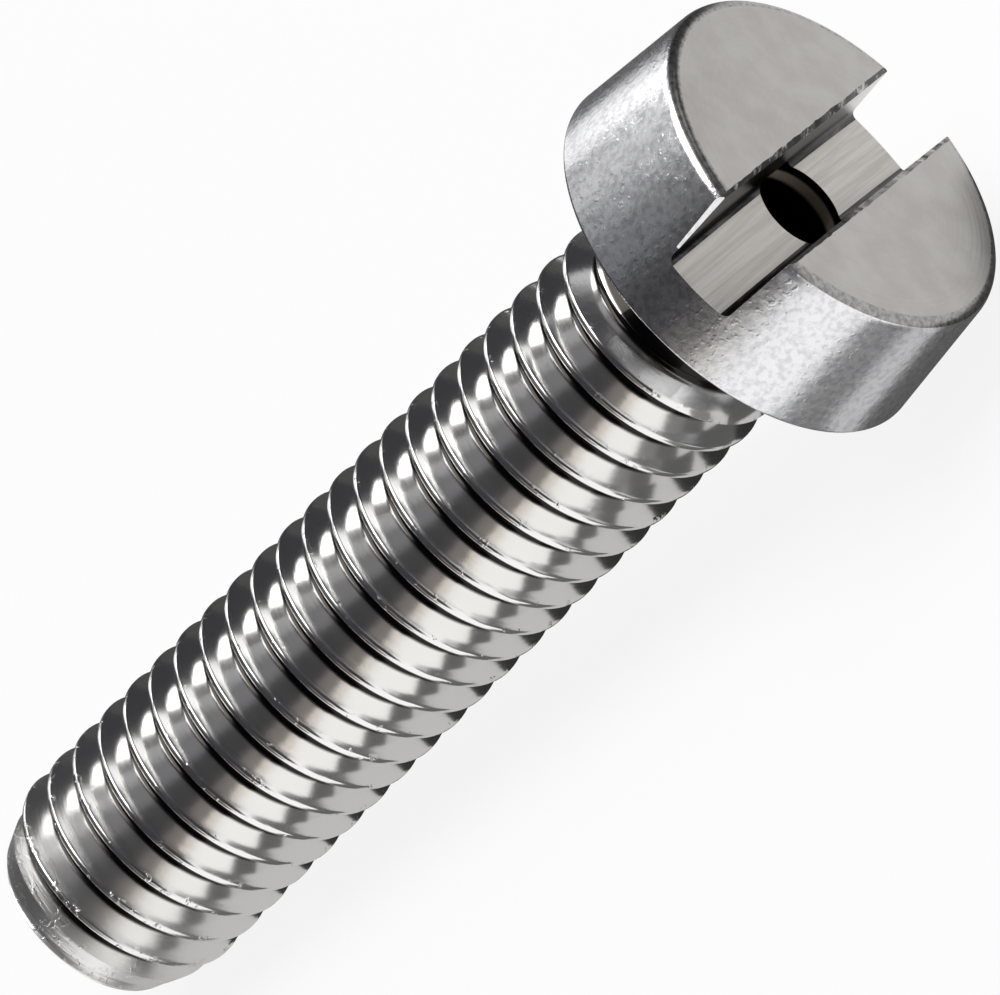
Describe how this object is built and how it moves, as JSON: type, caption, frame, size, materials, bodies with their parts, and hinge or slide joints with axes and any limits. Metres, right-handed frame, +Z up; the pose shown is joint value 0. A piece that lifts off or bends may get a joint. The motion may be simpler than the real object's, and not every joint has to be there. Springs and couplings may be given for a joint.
{
  "type": "machine screw",
  "caption": "Slotted cheese-head machine screw with a right-hand metric thread and a vent bore along its axis, lying on its side.",
  "frame": {"origin": "middle of the screw's overall box, at the level of the surface that it lies on", "axes": "+X along the lying screw from tip to head, which its axis follows but for a lean of 5 degrees, +Z up"},
  "size_m": [0.0292, 0.01, 0.01],
  "materials": {
    "steel": "bright stainless steel, satin on the turned top face"
  },
  "bodies": {
    "root": {"screw": "steel"}
  },
  "joints": []
}
